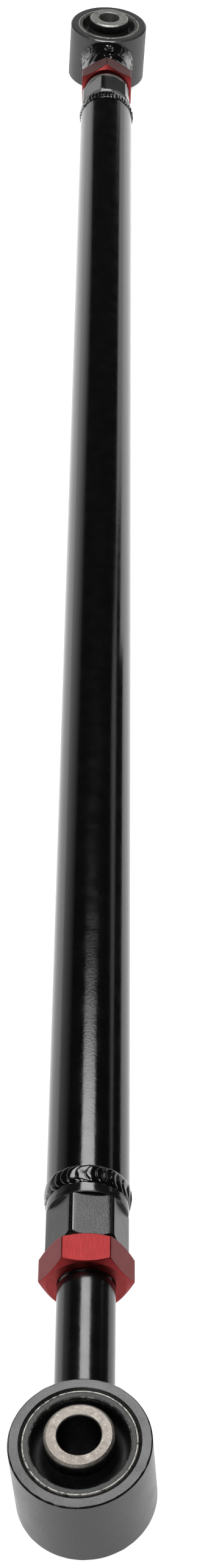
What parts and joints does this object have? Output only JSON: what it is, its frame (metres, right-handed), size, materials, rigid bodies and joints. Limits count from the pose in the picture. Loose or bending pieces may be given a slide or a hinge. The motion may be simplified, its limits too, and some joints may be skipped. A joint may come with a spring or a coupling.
{
  "type": "adjustable suspension control arm",
  "caption": "Straight adjustable control arm: a black tube with a threaded, lock-nutted eye shank and a bonded rubber bushing at each end.",
  "frame": {"origin": "centre of the near bushing, on its bore's axis, half-way along the bore", "axes": "+X along the arm from the near eye to the far eye; +Z along the near bushing's bore"},
  "size_m": [1.1839, 0.0574, 0.0512],
  "materials": {
    "powder_coat": "gloss black powder coat",
    "red_anodised": "satin red anodised, machined",
    "dark_steel": "dark phosphated steel",
    "bush_rubber": "matt black moulded rubber",
    "sleeve_steel": "bare cut steel"
  },
  "bodies": {
    "bar": {"main_tube": "powder_coat", "near_bung": "powder_coat", "far_bung": "powder_coat", "near_bung_weld": "powder_coat", "far_bung_weld": "powder_coat"},
    "near_nut": {"near_jam_nut": "red_anodised"},
    "near_end": {"near_shank": "powder_coat", "near_eye_weld": "powder_coat", "near_eye_housing": "powder_coat", "near_bush_shell": "dark_steel", "near_bush_rubber": "bush_rubber"},
    "near_sleeve": {"near_inner_sleeve": "sleeve_steel"},
    "far_nut": {"far_jam_nut": "red_anodised"},
    "far_end": {"far_shank": "powder_coat", "far_eye_weld": "powder_coat", "far_eye_housing": "powder_coat", "far_bush_shell": "dark_steel", "far_bush_rubber": "bush_rubber"},
    "far_sleeve": {"far_inner_sleeve": "sleeve_steel"}
  },
  "joints": [
    {"name": "near_thread_turn", "type": "hinge", "parent": "bar", "child": "near_nut", "pos_m": [0.0888, 0, 0], "axis": [1, 0, 0], "range_deg": [0, 5040]},
    {"name": "near_thread_travel", "type": "slide", "parent": "near_nut", "child": "near_end", "axis": [-1, 0, 0], "range_m": [0, 0.0254]},
    {"name": "near_bush_torsion", "type": "hinge", "parent": "near_end", "child": "near_sleeve", "pos_m": [0, 0, 0], "axis": [0, 0, 1], "range_deg": [-20, 20], "stiffness_Nm_per_rad": 57},
    {"name": "far_thread_turn", "type": "hinge", "parent": "bar", "child": "far_nut", "pos_m": [1.0746, 0, 0], "axis": [1, 0, 0], "range_deg": [0, 5040]},
    {"name": "far_thread_travel", "type": "slide", "parent": "far_nut", "child": "far_end", "axis": [1, 0, 0], "range_m": [0, 0.0254]},
    {"name": "far_bush_torsion", "type": "hinge", "parent": "far_end", "child": "far_sleeve", "pos_m": [1.13, 0, 0], "axis": [0, -0.1177, 0.993], "range_deg": [-20, 20], "stiffness_Nm_per_rad": 57}
  ],
  "couplings": [
    {"joint": "near_thread_travel", "follows": "near_thread_turn", "m_per_rad": 0.00028875},
    {"joint": "far_thread_turn", "follows": "near_thread_turn", "ratio": 1},
    {"joint": "far_thread_travel", "follows": "near_thread_turn", "m_per_rad": 0.00028875}
  ]
}
